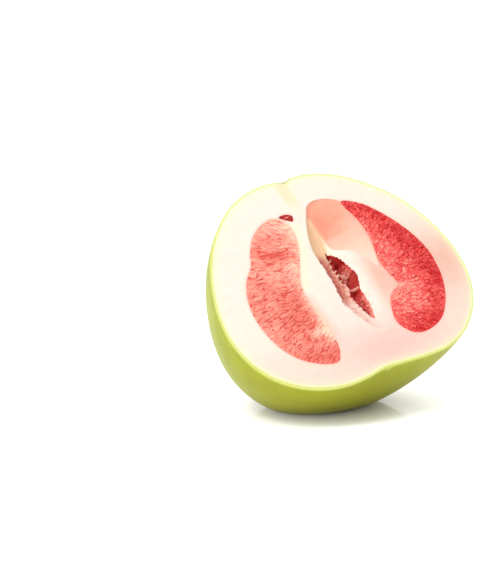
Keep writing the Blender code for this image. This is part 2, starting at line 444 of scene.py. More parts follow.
def buildRind():
    rows, columns = rind["rows"], rind["columns"]
    outer = shellGrid(0.0, rows, columns)
    lumps = np.array([noise.noise(Vector(p / rind["lumpSize"])) for p in outer])
    pits = np.array([noise.noise(Vector(p / rind["glandSize"])) for p in outer])
    relief = (lumps * rind["lumpHeight"] + pits * rind["glandPit"]) * smoothStep(0, 3, outer[:, 1])
    outer = outer + unit(outer) * relief[:, None]
    inner = shellGrid(skinThickness, rows, columns)
    outerWorld = restOnFloor(toFrame(outer), 0.0)
    innerWorld = restOnFloor(toFrame(inner), rind["innerFloor"])
    count = len(outer)
    faces = gridFaces(rows, columns, 0, False) + gridFaces(rows, columns, count, True)
    # the cut edge joins the two skins, from the stem pole down to the other
    for column, flip in ((0, False), (columns, True)):
        line = [row * (columns + 1) + column for row in range(rows - 1)]
        line = [count - 2] + line + [count - 1]
        for upper, lower in zip(line, line[1:]):
            face = [upper, upper + count, lower + count, lower]
            faces.append(face[::-1] if flip else face)
    piece = newPiece("rind", np.vstack([outerWorld, innerWorld]), faces, waxedRind)
    colours, share = rindTint(outer, inner, outerWorld[:, 2] / mm)
    setValues(piece.data, "tintShare", share)
    setColours(piece.data, "tint", colours)
    declare(piece, ["skin"])


buildRind()
print("rind done")


# The cut face: outlines in mm, then one triangulated sheet split into its tissues

faceRegions = {
    "left": [(-20, 45.8), (-14.5, 43), (-11.3, 37.5), (-11.2, 30), (-14, 20.5), (-20, 8),
             (-24.5, -2), (-24.6, -14), (-22, -25), (-21.8, -40), (-23.4, -49.5), (-28, -55.2),
             (-38, -53.4), (-50, -46), (-58.4, -33.7), (-62.5, -17), (-61.5, -3), (-56.5, 9.6),
             (-48.5, 19), (-45, 27), (-38, 37), (-29, 43.5)],
    "right": [(29.3, 45), (34, 44), (42, 39.2), (49.4, 31.6), (56.7, 21.4), (62.4, 10.5),
              (66, -1), (66.6, -12), (64.6, -24.6), (59, -37.5), (50, -48), (38, -52.9),
              (28.4, -52), (21.8, -45), (21, -37), (26, -25), (34.2, -19.2), (34.6, -15.5),
              (32, -6.5), (31.8, 2), (33.9, 14), (33.6, 25), (31.6, 34), (28.6, 41.5)],
    "upper": [(-15.6, 45.4), (-10.5, 46.3), (-6.7, 44.2), (-7.9, 40.6), (-11.3, 42)],
    "pocket": [(3.6, 43.5), (5.4, 47.4), (9.6, 50), (16.8, 50.5), (23, 48.5), (27.6, 45.3),
               (30.4, 35), (32.4, 25), (32.6, 14), (31.4, 5), (29.2, -3), (24.8, 3.5),
               (18, 11.5), (12.6, 16.2), (10.4, 21), (9, 28), (6.6, 35), (4.2, 40)],
    "core": [(5.2, 17.6), (6.6, 13.6), (9.2, 7), (12, 0), (13.4, -4.5), (12.2, -9.5), (10.6, -14.5),
             (11.2, -21), (10.8, -29), (9.4, -35.5), (6.6, -30), (4.6, -24), (3.2, -17.5),
             (4.4, -11.5), (3.6, -5), (3.2, 2), (3.9, 11)],
}

# Relief of the open pocket and the split core, read from the blossom end to the stem end
relief = {
    "height": [-44, -38, -30, -20, -10, 0, 10, 18, 26, 33, 40, 46, 51],
    "leftRim": [8, 3, -1.5, -5.6, -4.6, -4.6, -5.6, -6, -4.4, -2, 1.2, 5, 12],
    "ledgeRight": [9, 7.6, 5.8, 3.0, 4.2, 3.2, 3.8, 7.5, 9.3, 7.4, 4.6, 6, 14],
    "ledgeDepth": [0, 1.2, 2.8, 4.4, 5.0, 5.4, 6.4, 8.0, 8.8, 7.6, 4.0, 2.4, 0],
    "rightEdge": [22, 20, 24, 33, 32, 31, 33, 34, 33.5, 32.5, 30, 26, 20],
    "islandX": [13, 14, 17, 19, 20, 19, 16, 30, 32, 32, 30, 26, 20],
}

# The split core: two chambers, with a strand of tissue between them
split = {"upperHole": 12.0, "lowerHole": 8.0, "strandHeight": -12.5, "bankDepth": 2.4,
         "wallWidth": 2.4, "lumpHeight": 4.5, "roughness": 0.9, "ragged": 0.55}


sheet = {"rimPoints": 520, "rimSeam": 0.15, "clear": 0.25, "loopSpacing": 0.5,
         "spacing": {"left": 0.45, "right": 0.42, "upper": 0.4, "pocket": 0.6, "core": 0.33,
                     "ledge": 0.45, "pith": 0.9}}
ledgeBox = np.array([(-11, -48), (18, -48), (18, 54), (-11, 54)], float)
loops = {name: smoothLoop(knots, sheet["loopSpacing"]) for name, knots in faceRegions.items()}
# the split was torn open, so its edge is ragged
loops["core"] += split["ragged"] * np.stack([ripple(loops["core"], 1.7, seed)
                                             for seed in (31.0, 32.0)], axis=1)


def reliefAt(z):
    return {name: np.interp(z, relief["height"], values) for name, values in relief.items()}


def faceDepth(points, inCore):
    # how far the surface lies behind the flat cut, in mm
    x, z = points.T
    at = reliefAt(z)
    depth = np.zeros(len(points))
    # the ledge slopes down from the left rim
    share = (x - at["leftRim"]) / np.maximum(at["ledgeRight"] - at["leftRim"], 0.5)
    onLedge = (share > 0) & (share <= 1)
    depth[onLedge] = (at["ledgeDepth"] * share ** 0.8)[onLedge]
    # right of it the membrane climbs back to the face, or the core's white bank does
    past = x - at["ledgeRight"]
    climb = np.clip(past / np.maximum(at["rightEdge"] - at["ledgeRight"], 1), 0, 1)
    bank = np.clip(past / np.maximum(at["islandX"] - at["ledgeRight"], 1), 0, 1)
    pocketShare = smoothStep(8, 20, z)
    membrane = at["ledgeDepth"] * (1 - climb) ** 1.3 + 0.5 * (1 - climb)
    white = split["bankDepth"] * (1 - bank) ** 1.6
    right = share > 1
    depth[right] = (membrane * pocketShare + white * (1 - pocketShare))[right]
    outside = (climb >= 1) | (z <= relief["height"][0]) | (z >= relief["height"][-1])
    depth[outside] = 0
    depth[inCore] += coreDepth(points[inCore], depth[inCore])
    return depth


def coreDepth(points, base):
    # how much deeper than its rim the split is
    x, z = points.T
    above = smoothStep(-2, 2, z - split["strandHeight"])
    deep = split["lowerHole"] + (split["upperHole"] - split["lowerHole"]) * above
    # a swollen lump of sacs lies on the left of the upper chamber
    deep = deep - split["lumpHeight"] * hump(x, 8.8, 2.4) * hump(z, -1, 5)
    deep = deep + split["roughness"] * ripple(points, 2.0, 4.0)
    wall = smoothStep(0, split["wallWidth"], distanceTo(points, loops["core"])) ** 0.8
    return (deep - base) * wall


def scatterGrid(low, high, gap):
    xs = np.arange(low[0], high[0], gap)
    zs = np.arange(low[1], high[1], gap * 0.87)
    grid = np.array([(x + (row % 2) * gap / 2, z) for row, z in enumerate(zs) for x in xs])
    return grid + rng.uniform(-0.18, 0.18, grid.shape) * gap


def sheetCloud(rim):
    # each tissue has points as close together as its detail needs, clear of the outlines
    clouds = []
    for name, loop in loops.items():
        grid = scatterGrid(loop.min(axis=0), loop.max(axis=0), sheet["spacing"][name])
        clouds.append(grid[isInside(grid, loop)])
    wide = scatterGrid(rim.min(axis=0), rim.max(axis=0), sheet["spacing"]["pith"])
    fine = scatterGrid(ledgeBox.min(axis=0), ledgeBox.max(axis=0), sheet["spacing"]["ledge"])
    rest = np.vstack([wide[~isInside(wide, ledgeBox)], fine])
    for loop in loops.values():
        rest = rest[~isInside(rest, loop)]
    cloud = np.vstack([*clouds, rest])
    cloud = cloud[isInside(cloud, rim)]
    for loop in (rim, *loops.values()):
        cloud = cloud[distanceTo(cloud, loop) > sheet["clear"]]
    return cloud


def buildSheet():
    rim = faceLoop(skinThickness - sheet["rimSeam"], sheet["rimPoints"])
    points, edges = [], []
    for loop in (rim, *loops.values()):
        start, count = len(points), len(loop)
        points += [tuple(p) for p in loop]
        edges += [(start + i, start + (i + 1) % count) for i in range(count)]
    points += [tuple(p) for p in sheetCloud(rim)]
    out = delaunay_2d_cdt([Vector(p) for p in points], edges, [], 0, 1e-5, False)
    flat = np.array([tuple(v) for v in out[0]])
    triangles = np.array([list(f) for f in out[2] if len(f) == 3])
    centres = flat[triangles].mean(axis=1)
    inRim = isInside(centres, rim)
    return flat, triangles[inRim], centres[inRim]


def submesh(triangles, mask):
    used, inverse = np.unique(triangles[mask], return_inverse=True)
    return used, inverse.reshape(-1, 3)


def borderLoops(triangles):
    # directed border edges, chained into loops
    seen = {}
    for a, b, c in triangles:
        for edge in ((a, b), (b, c), (c, a)):
            seen[edge] = seen.get(edge, 0) + 1
    following = {a: b for (a, b) in seen if (b, a) not in seen}
    found = []
    while following:
        start = next(iter(following))
        loop = [start]
        current = following.pop(start)
        while current != start:
            loop.append(current)
            current = following.pop(current)
        found.append(loop)
    return found


def relaxed(values, triangles, rounds, weights):
    # rolls creases over by averaging with neighbours where weights allow
    edges = np.vstack([triangles[:, [0, 1]], triangles[:, [1, 2]], triangles[:, [2, 0]]])
    edges = np.vstack([edges, edges[:, ::-1]])
    degree = np.bincount(edges[:, 0], minlength=len(values)).clip(1)
    for _ in range(rounds):
        total = np.bincount(edges[:, 0], values[edges[:, 1]], minlength=len(values))
        values = values * (1 - weights) + total / degree * weights
    return values


def sacCells(points, kind):
    # cut juice sacs: each cell is a low dome drawn out along a line from the focus
    seeds = scatterGrid(points.min(axis=0) - 2, points.max(axis=0) + 2, kind["size"])
    seeds += rng.uniform(-0.4, 0.4, seeds.shape) * kind["size"]
    seeds = seeds[rng.random(len(seeds)) < np.interp(seeds[:, 1], (-40, 20), kind["kept"])]
    tree = KDTree(len(seeds))
    for index, seed in enumerate(seeds):
        tree.insert((*seed, 0), index)
    tree.balance()
    waves = np.stack([ripple(points, 7.0, 1.0), ripple(points, 7.0, 2.0)], axis=1)
    bent = points + kind["bend"] * waves
    neighbours = 24
    close = np.array([[found[1] for found in tree.find_n((*p, 0), neighbours)] for p in bent])
    aim = unit(points - np.array(kind["focus"], float))
    aside = np.stack([-aim[:, 1], aim[:, 0]], axis=1)
    gap = seeds[close] - bent[:, None, :]
    stretch = np.interp(points[:, 1], (-50, 40), kind["stretch"])
    along = np.einsum("nkc,nc->nk", gap, aim) / stretch[:, None]
    across = np.einsum("nkc,nc->nk", gap, aside)
    far = np.hypot(along, across)
    order = np.argsort(far, axis=1)
    first, second = np.take_along_axis(far, order[:, :2], 1).T
    owner = np.take_along_axis(close, order[:, :1], 1)[:, 0]
    lottery = rng.uniform(-1, 1, len(seeds))
    return first / np.maximum(second, 1e-6), lottery[owner]


# Cut sacs in mm: kept and stretch run from the bottom of a segment to its top. Tones are shares
# of the colour range: spread from sac to sac, and gapTone in the dark lines between them.
flesh = {
    "left": {"size": 3.0, "kept": (0.9, 0.5), "stretch": (3.8, 6.5), "bend": 2.6, "grit": 1.5,
             "focus": (42, 5), "dome": 0.75, "spread": 0.16, "gapTone": 0.62},
    "right": {"size": 2.2, "kept": (1.0, 1.0), "stretch": (1.5, 2.2), "bend": 1.2, "grit": 1.2,
              "focus": (5, -22), "dome": 0.95, "spread": 0.32, "gapTone": 0.50},
    "upper": {"size": 1.6, "kept": (1.0, 1.0), "stretch": (1.5, 1.5), "bend": 0.4, "grit": 1.0,
              "focus": (20, 38), "dome": 0.5, "spread": 0.4, "gapTone": 0.3},
}


def pithRelief(depth):
    # creases round over, the torn side of the split is rough and the face undulates
    inLedge = isInside(sheetPoints, ledgeBox)
    soft = (inLedge | pointRegion["pocket"]) & ~pointRegion["core"]
    depth = relaxed(depth, sheetTriangles, 4, 0.6 * soft)
    torn = inLedge & (np.abs(sheetPoints[:, 1] + 10) < 24) & (depth > 0.3)
    depth += 0.7 * torn * ripple(sheetPoints, 2.0, 23.0)
    fromRim = distanceTo(sheetPoints, faceLoop(skinThickness, 120))
    return depth + 0.10 * ripple(sheetPoints, 9.0, 3.0) * smoothStep(0, 6, fromRim)


def pulpRelief(side, kind):
    # depth to add over one segment, and the tone of its sacs
    place = sheetPoints[pointRegion[side]]
    edge = distanceTo(place, loops[side])
    share, chance = sacCells(place, kind)
    room = smoothStep(0, 1.8, edge)
    grit = ripple(place, kind["grit"], 12.0)
    lift = kind["dome"] * np.sqrt(np.clip(1 - share ** 2.5, 0, 1)) * (1 + 0.35 * chance)
    depth = room * (kind["dome"] * 0.75 - lift) + 0.12 * hump(edge, 0, 0.7) + 0.16 * room * grit
    gapShare = np.clip(0.55 + 1.1 * ripple(place, 5.0, 14.0), 0.1, 1.2)
    gaps = kind["gapTone"] * smoothStep(0.66, 0.96, share) * gapShare
    return depth, kind["spread"] * chance / 2 + 0.1 * grit - gaps


print("outlines ready")
sheetPoints, sheetTriangles, sheetCentres = buildSheet()
print("cut face triangulated:", len(sheetPoints), "points,", len(sheetTriangles), "triangles")
centreRegion = {name: isInside(sheetCentres, loop) for name, loop in loops.items()}
pointRegion = {name: isInside(sheetPoints, loop) for name, loop in loops.items()}
depthMap = pithRelief(faceDepth(sheetPoints, pointRegion["core"]))
pulpTone = np.zeros(len(sheetPoints))
for side, kind in flesh.items():
    added, tones = pulpRelief(side, kind)
    depthMap[pointRegion[side]] += added
    pulpTone[pointRegion[side]] = tones
print("relief done")


# Pith and membrane

pithVeins = [((-20, -44), (-6, -62)), ((-16, -30), (-19, -44)), ((2, -50), (14, -46)),
             ((16, -44), (23, -58)), ((8, -60), (26, -62)), ((-8, -48), (0, -64)),
             ((30, -58), (44, -56)), ((-46, -58), (-28, -63))]


def veinLayers(points):
    layers = []
    for start, end in pithVeins:
        line = np.linspace(start, end, 12)
        line = line + 0.8 * np.stack([ripple(line, 6.0, 8.0), ripple(line, 6.0, 9.0)], axis=1)
        layers.append((0.2 * nearLine(points, line, 0.6), "cdb0a4"))
    return layers


def pithTint(points):
    x, z = points.T
    rosy = hump(x, 8, 40) * hump(z, -53, 16) * (0.85 + 0.5 * ripple(points, 24.0, 11.0))
    nearPulp = np.min([distanceTo(points, loops[side]) for side in flesh], axis=0)
    fromRim = distanceTo(points, faceLoop(skinThickness, 240))
    # the stem's strand is a cream strip with fine lines along it
    strip = np.exp(-((x + 2.5 + (z - 60) * 0.12) / 4.4) ** 4) * smoothStep(42, 58, z)
    lines = 0.5 + 0.5 * np.sin(x * 2.6 + 2 * ripple(points, 8.0, 5.0))
    # the wall between the pocket and the right segment is bare film
    film = (hump(distanceTo(points, loops["pocket"]), 0, 1.6)
            * hump(distanceTo(points, loops["right"]), 0, 1.6))
    # the inner edge of the left segment is greenish cream, and lower down its pulp bleeds out
    cream = nearLine(points, [(-9, 36), (-12, 20), (-19, 7), (-22.5, -4)], 3)
    bleed = nearLine(points, [(-23, -12), (-20.5, -25), (-20, -38)], 2.6)
    colours = paint("efe0d2", len(points), [
        (0.8 * (1 - smoothStep(-58, -20, z)), "efd3c3"),
        (rosy, "f1c3b8"),
        (0.4 * hump(x, -10, 9) * hump(z, -22, 16), "fad9d0"),
        (smoothStep(14, 26, x) * hump(z, -12, 26), "e6b8a6"),
        (0.5 * hump(nearPulp, 0, 0.9), "f3ae9c"),
        (0.85 * hump(fromRim, 0, 1.0), "e9ecae"),
        (0.35 * hump(fromRim, 0, 4.0), "f2ecc0"),
        *veinLayers(points),
        (0.8 * strip, "ecdcb2"),
        (0.12 * strip * lines, "d6b984"),
        (1.6 * film, "f0ab98"),
        (0.45 * cream, "f6ecc2"),
        (0.5 * bleed, "f6bfae")])
    return ledgeTint(colours, points)


def ledgeTint(colours, points):
    # from the rim of the pocket down to the split: a wall in painted shade, then torn pink tissue,
    # then a tail
    x, z = points.T
    at = reliefAt(z)
    share = (x - at["leftRim"]) / np.maximum(at["ledgeRight"] - at["leftRim"], 0.5)
    frayed = 1 - smoothStep(6, 16, z)
    share = share + 0.16 * frayed * ripple(points, 1.9, 22.0)
    on = smoothStep(-0.06, 0.08, share) * (1 - smoothStep(1.0, 1.12, share))
    on *= smoothStep(-43, -34, z) * (1 - smoothStep(45, 49, z))
    shadedWall = smoothStep(8, 18, z)
    torn = (1 - shadedWall) * smoothStep(-24, -16, z)
    tail = 1 - smoothStep(-24, -16, z)
    patch = 0.5 + 0.9 * ripple(points, 2.4, 21.0)
    # painted shade: pith painted light brown, darkest at the left edge, lighter towards the ridge;
    # the cream line there is partly the pith's edge, partly painted highlight
    wall = paint("e8bd94", len(points), [
        (smoothStep(0.35, 0.8, share), "f3cda2"),
        (0.6 * (1 - smoothStep(0.0, 0.4, share)), "c9a17e"),
        (0.9 * smoothStep(0.84, 0.97, share), "fde6c4")])
    pink = paint("d48672", len(points), [
        ((1 - smoothStep(0.25, 0.7, share)) * (0.3 + 0.9 * patch), "a84a42"),
        (0.7 * hump(share, 0, 0.1), "8e4438"),
        (0.8 * smoothStep(0.72, 0.92, share), "efbfa8")])
    # painted shade: the tail is greyish pink, as shade in a shallow groove, mottled darker
    soft = paint("ecc8ba", len(points), [(0.7 * patch * (share < 0.6), "c98e80")])
    blend = shadedWall[:, None] * wall + torn[:, None] * pink + tail[:, None] * soft
    return colours * (1 - on[:, None]) + blend * on[:, None]


def addPlug(verts, faces, loop, depth, past):
    # a wall behind one border loop and a cap, at least this far past the border
    start, count = len(verts), len(loop)
    for index in loop:
        x, y, z = verts[index]
        verts.append([x, max(depth, y + past), z])
    for i in range(count):
        j = (i + 1) % count
        faces.append([loop[j], loop[i], start + i, start + j])
    faces.append([start + i for i in range(count)][::-1])


def closeBack(points, triangles, backDepth):
    # a closed plug behind the whole front
    verts = [list(p) for p in points]
    faces = [list(t) for t in triangles]
    for loop in borderLoops(triangles):
        addPlug(verts, faces, loop, backDepth, 1.0)
    return np.array(verts), faces


def orientFront(points, triangles):
    # triangles face out of the cut, towards -Y
    a, b, c = (points[triangles[:, i]] for i in range(3))
    upward = np.cross(b - a, c - a)[:, 1] > 0
    triangles = triangles.copy()
    triangles[upward] = triangles[upward][:, ::-1]
    return triangles


def tissueFront(mask):
    used, triangles = submesh(sheetTriangles, mask)
    flat = sheetPoints[used]
    points = np.stack([flat[:, 0], depthMap[used], flat[:, 1]], axis=1)
    return used, points, orientFront(points, triangles)


pith = {"pocketBack": 14.0, "rings": 40, "seam": 0.1, "floorGap": 0.15, "rimBehind": 0.02}


def addDome(verts, faces, rimLoop):
    # behind, the pith follows the inside of the rind
    previous = list(rimLoop)
    count = len(rimLoop)
    for ring in range(1, pith["rings"]):
        lean = ring / pith["rings"] * pi / 2
        current = []
        for index in rimLoop:
            angle = np.arctan2(verts[index][0], verts[index][2])
            side = np.array([sin(angle) * cos(lean), sin(lean), cos(angle) * cos(lean)])
            polar = np.arccos(np.clip(side[2], -1, 1))
            azimuth = np.arctan2(side[1], side[0])
            radius = fruitRadius(polar, (1 - np.cos(azimuth)) / 2) - skinThickness - pith["seam"]
            current.append(len(verts))
            verts.append(list(side * radius))
        for i in range(count):
            j = (i + 1) % count
            faces.append([previous[j], previous[i], current[i], current[j]])
        previous = current
    faces.append(previous[::-1])


def buildPith():
    inTissue = np.any(list(centreRegion.values()), axis=0)
    used, points, triangles = tissueFront(~inTissue)
    borders = borderLoops(triangles)
    borders.sort(key=lambda loop: -max(abs(points[i][0]) for i in loop))
    verts = [list(p) for p in points]
    faces = [list(t) for t in triangles]
    for loop in borders[1:]:
        addPlug(verts, faces, loop, pith["pocketBack"], 2.0)
    for index in borders[0]:
        verts[index][1] = pith["rimBehind"]
    addDome(verts, faces, borders[0])
    world = restOnFloor(toFrame(verts), rind["innerFloor"] + pith["floorGap"])
    piece = newPiece("pith", world, faces, spongyPith)
    colours = paint("fbeedd", len(verts), [])
    colours[:len(used)] = pithTint(sheetPoints[used])
    setColours(piece.data, "tint", colours)
    declare(piece, ["pith"])


# Torn strands that still bridge the split: points in mm, and thickness
tornFibres = [
    ([(2.6, 4.6, -7.6), (5, 5.6, -10.6), (8, 5.4, -12.2), (12.0, 2.6, -12.4)], 1.9),
    ([(2.6, 5.2, 2), (3.8, 5.4, -2), (3.4, 5.2, -6), (4.4, 4.8, -10)], 0.9),
    ([(-3.6, 1.4, -18), (-1, 2.6, -22), (2.4, 3.6, -25), (5.4, 4.2, -27)], 0.7),
    ([(-2.4, 1.2, -26), (1, 2.0, -28), (4.4, 3.0, -31)], 0.6),
    ([(-3.8, 1.8, -13), (-1.4, 3.4, -16), (1, 4.2, -20)], 0.7),
]


def addFibre(verts, faces, knots, thick):
    # a round strand with uneven thickness, wider at both ends
    sides = 8
    knots = np.array(knots, float)
    run = np.vstack([2 * knots[0] - knots[1], knots, 2 * knots[-1] - knots[-2]])
    line = splineRun(run, 6)
    ahead = unit(np.gradient(line, axis=0))
    side = unit(np.cross(ahead, (0.3, 1, 0.1)))
    over = np.cross(side, ahead)
    start, last = len(verts), len(line) - 1
    for index, centre in enumerate(line):
        wide = thick / 2 * (0.75 + 0.5 * abs(2 * index / last - 1))
        wide *= 1 + 0.3 * noise.noise(Vector(centre / 1.3))
        for step in range(sides):
            angle = step * 2 * pi / sides
            verts.append(centre + wide * (cos(angle) * side[index] + sin(angle) * over[index]))
    for row in range(last):
        for step in range(sides):
            a, b = (start + row * sides + corner for corner in (step, (step + 1) % sides))
            faces.append([a, b, b + sides, a + sides])
    faces.append([start + step for step in range(sides)][::-1])
    faces.append([start + last * sides + step for step in range(sides)])


def buildFibres():
    verts, faces = [], []
    for knots, thick in tornFibres:
        addFibre(verts, faces, knots, thick)
    piece = newPiece("tornFibres", toFrame(verts), faces, spongyPith)
    setColours(piece.data, "tint", paint("d98e7c", len(verts), []))
    declare(piece, ["pith"])


# Taut folds, from the right segment's top towards the core
membraneFolds = [((29, 42), (20, 30)), ((30, 38), (22, 27)), ((27, 44), (17, 33)),
                 ((31, 30), (25, 18)), ((20, 47), (15, 38)), ((31, 20), (27, 8))]
membrane = {"foldHeight": 0.14, "foldWidth": 0.5, "back": 13.0}


def membraneTint(points):
    x, z = points.T
    cloud = ripple(points, 7.0, 14.0)
    fade = z + 0.25 * (15 - x) + 3 * cloud
    fromLedge = x - reliefAt(z)["ledgeRight"]
    edge = distanceTo(points, loops["pocket"])
    return paint("f6ab90", len(points), [
        # partly the film's own salmon, partly painted shade: deeper salmon where the pocket is
        # deepest
        (0.6 * hump(x, 14, 13) * hump(z, 36, 15), "ee957d"),
        (0.95 * (1 - smoothStep(-6, 36, fade)), "f6d3bf"),
        (0.25 * np.clip(cloud, 0, 1), "f9c3ad"),
        (0.55 * smoothStep(24, 31, x) * smoothStep(8, 24, z), "f9b5a2"),
        # the cream line along the fold is partly the pith's own edge, partly painted highlight
        (0.95 * hump(fromLedge, 0, 1.1) * (z < 41), "fde2bf"),
        (0.5 * hump(edge, 0, 0.6) * (z > 30), "e58c78")])


def buildMembrane():
    used, points, triangles = tissueFront(centreRegion["pocket"])
    flat = sheetPoints[used]
    for fold in membraneFolds:
        points[:, 1] -= membrane["foldHeight"] * nearLine(flat, fold, membrane["foldWidth"])
    verts, faces = closeBack(points, triangles, membrane["back"])
    piece = newPiece("pocketMembrane", toFrame(verts), faces, segmentFilm)
    colours = paint("f0a890", len(verts), [])
    colours[:len(flat)] = membraneTint(flat)
    setColours(piece.data, "tint", colours)
    declare(piece, ["middle_segment"])


buildPith()
buildFibres()
buildMembrane()
print("pith and membrane done")


# Juice sacs

def grainTurn(tree, given, scatter):
    # a sac stands on the bed and points along the grain, give or take its swing
    grain = addNode(tree, "GeometryNodeInputNamedAttribute", {"Name": "grain"},
                    data_type="FLOAT_VECTOR")
    upright = addNode(tree, "FunctionNodeAlignRotationToVector",
                      {"Vector": scatter.outputs["Normal"]}, axis="Z")
    along = addNode(tree, "FunctionNodeAlignRotationToVector",
                    {"Rotation": upright, "Vector": grain}, axis="X", pivot_axis="Z")
    minus = addNode(tree, "ShaderNodeMath", {0: given["Swing"], 1: -1.0}, operation="MULTIPLY")
    swing = addNode(tree, "FunctionNodeRandomValue",
                    {"Min": minus, "Max": given["Swing"], "Seed": given["Seed"]},
                    data_type="FLOAT")
    aside = addNode(tree, "FunctionNodeAxisAngleToRotation", {"Axis": (0, 0, 1), "Angle": swing})
    return addNode(tree, "FunctionNodeRotateRotation", {"Rotation": along, "Rotate By": aside},
                   rotation_space="LOCAL")


def taperedSac(tree):
    # a small ball drawn out to a tail
    ball = addNode(tree, "GeometryNodeMeshIcoSphere", {"Radius": 0.5, "Subdivisions": 2})
    position = addNode(tree, "GeometryNodeInputPosition")
    parts = addNode(tree, "ShaderNodeSeparateXYZ", {"Vector": position})
    narrow = addNode(tree, "ShaderNodeMath", {0: parts.outputs["X"], 1: 0.7, 2: 0.85},
                     operation="MULTIPLY_ADD")
    taper = addNode(tree, "ShaderNodeCombineXYZ", {"X": 1.0, "Y": narrow, "Z": narrow})
    drawn = addNode(tree, "ShaderNodeVectorMath", {0: position, 1: taper}, operation="MULTIPLY")
    return addNode(tree, "GeometryNodeSetPosition", {"Geometry": ball.outputs["Mesh"],
                                                     "Position": drawn})


def sacTree():
    tree = bpy.data.node_groups.new("juiceSacs", "GeometryNodeTree")
    face = tree.interface
    for name, kind in (("Bed", "Geometry"), ("Spacing", "Float"), ("Length", "Float"),
                       ("Width", "Float"), ("Height", "Float"), ("Swing", "Float"),
                       ("Seed", "Int"), ("Flesh", "Material")):
        face.new_socket(name, in_out="INPUT", socket_type="NodeSocket" + kind)
    face.new_socket("Geometry", in_out="OUTPUT", socket_type="NodeSocketGeometry")
    given = addNode(tree, "NodeGroupInput").outputs
    front = addNode(tree, "GeometryNodeInputNamedAttribute", {"Name": "front"}, data_type="FLOAT")
    pick = addNode(tree, "FunctionNodeCompare", {"A": front, "B": 0.5}, data_type="FLOAT",
                   operation="GREATER_THAN")
    scatter = addNode(tree, "GeometryNodeDistributePointsOnFaces", distribute_method="POISSON")
    feed(tree, scatter, {"Mesh": given["Bed"], "Selection": pick, "Distance Min": given["Spacing"],
                         "Density Max": 4e6, "Seed": given["Seed"]})
    size = addNode(tree, "ShaderNodeCombineXYZ", {"X": given["Length"], "Y": given["Width"],
                                                  "Z": given["Height"]})
    spread = addNode(tree, "FunctionNodeRandomValue", {"Min": 0.72, "Max": 1.25, "Seed": 7},
                     data_type="FLOAT")
    scaled = addNode(tree, "ShaderNodeVectorMath", operation="SCALE")
    feed(tree, scaled, {0: size, "Scale": spread})
    laid = addNode(tree, "GeometryNodeInstanceOnPoints",
                   {"Points": scatter.outputs["Points"], "Instance": taperedSac(tree),
                    "Rotation": grainTurn(tree, given, scatter), "Scale": scaled})
    shade = addNode(tree, "FunctionNodeRandomValue", {"Min": -0.16, "Max": 0.08, "Seed": 3},
                    data_type="FLOAT")
    marked = addNode(tree, "GeometryNodeStoreNamedAttribute",
                     {"Geometry": laid, "Name": "sacTone", "Value": shade},
                     data_type="FLOAT", domain="INSTANCE")
    real = addNode(tree, "GeometryNodeRealizeInstances", {"Geometry": marked})
    soft = addNode(tree, "GeometryNodeSetShadeSmooth", {"Geometry": real})
    both = addNode(tree, "GeometryNodeJoinGeometry")
    tree.links.new(given["Bed"], both.inputs["Geometry"])
    tree.links.new(soft.outputs["Geometry"], both.inputs["Geometry"])
    painted = addNode(tree, "GeometryNodeSetMaterial", {"Geometry": both,
                                                        "Material": given["Flesh"]})
    addNode(tree, "NodeGroupOutput", {"Geometry": painted})
    return tree


def growSacs(piece, tree, sizes, seed, material):
    modifier = piece.modifiers.new("sacs", "NODES")
    modifier.node_group = tree
    wanted = {name.capitalize(): sizes[name] * mm
              for name in ("spacing", "length", "width", "height")}
    wanted.update({"Swing": radians(sizes["swing"]), "Seed": seed, "Flesh": material})
    for item in tree.interface.items_tree:
        if item.in_out == "INPUT" and item.name in wanted:
            modifier[item.identifier] = wanted[item.name]
    graph = bpy.context.evaluated_depsgraph_get()
    graph.update()
    plain = bpy.data.meshes.new_from_object(piece.evaluated_get(graph),
                                            preserve_all_data_layers=True, depsgraph=graph)
    piece.modifiers.clear()
    piece.data = plain
    print(piece.name, "has", len(plain.polygons), "faces")


# Proud sacs stand on the cut ones: sizes in mm, swing in degrees, and the point they aim from
proudSacs = {
    "left": {"spacing": 7.0, "length": 4.5, "width": 1.6, "height": 1.0, "swing": 12,
             "focus": (42, 5), "clear": 3.2, "back": 13.0},
    "right": {"spacing": 4.0, "length": 2.7, "width": 1.7, "height": 1.5, "swing": 30,
              "focus": (5, -22), "clear": 1.6, "back": 13.0},
    "upper": {"spacing": 1.6, "length": 2.0, "width": 1.2, "height": 0.9, "swing": 60,
              "focus": (20, 38), "clear": 0.9, "back": 13.0},
    "core": {"spacing": 1.3, "length": 2.0, "width": 1.5, "height": 1.5, "swing": 90,
             "focus": (0, 0), "clear": 0.7, "back": 17.0},
}
juiceSacs = sacTree()


def growsAt(region, points):
    # sacs stand clear of the edge, and in the split only on the lump and at its lower end
    grows = distanceTo(points, loops[region]) > proudSacs[region]["clear"]
    if region == "core":
        x, z = points.T
        grows &= (hump(x, 8.6, 2.8) * hump(z, -0.5, 6.5) > 0.4) | (z < -17)
    return grows


def buildFlesh(name, region, node, seed, material, tone):
    sizes = proudSacs[region]
    used, points, triangles = tissueFront(centreRegion[region])
    flat = sheetPoints[used]
    verts, faces = closeBack(points, triangles, sizes["back"])
    piece = newPiece(name, toFrame(verts), faces, material)
    focusX, focusZ = sizes["focus"]
    outward = (verts - np.array([focusX, 0, focusZ])) * (1, 0, 1)
    setVectors(piece.data, "grain", unit(outward) @ turn.T)
    tones = np.full(len(verts), 0.3)
    tones[:len(flat)] = tone(flat) + pulpTone[used]
    setValues(piece.data, "tone", tones)
    front = np.zeros(len(verts))
    front[:len(flat)] = growsAt(region, flat)
    setValues(piece.data, "front", front)
    growSacs(piece, juiceSacs, sizes, seed, material)
    declare(piece, [node])


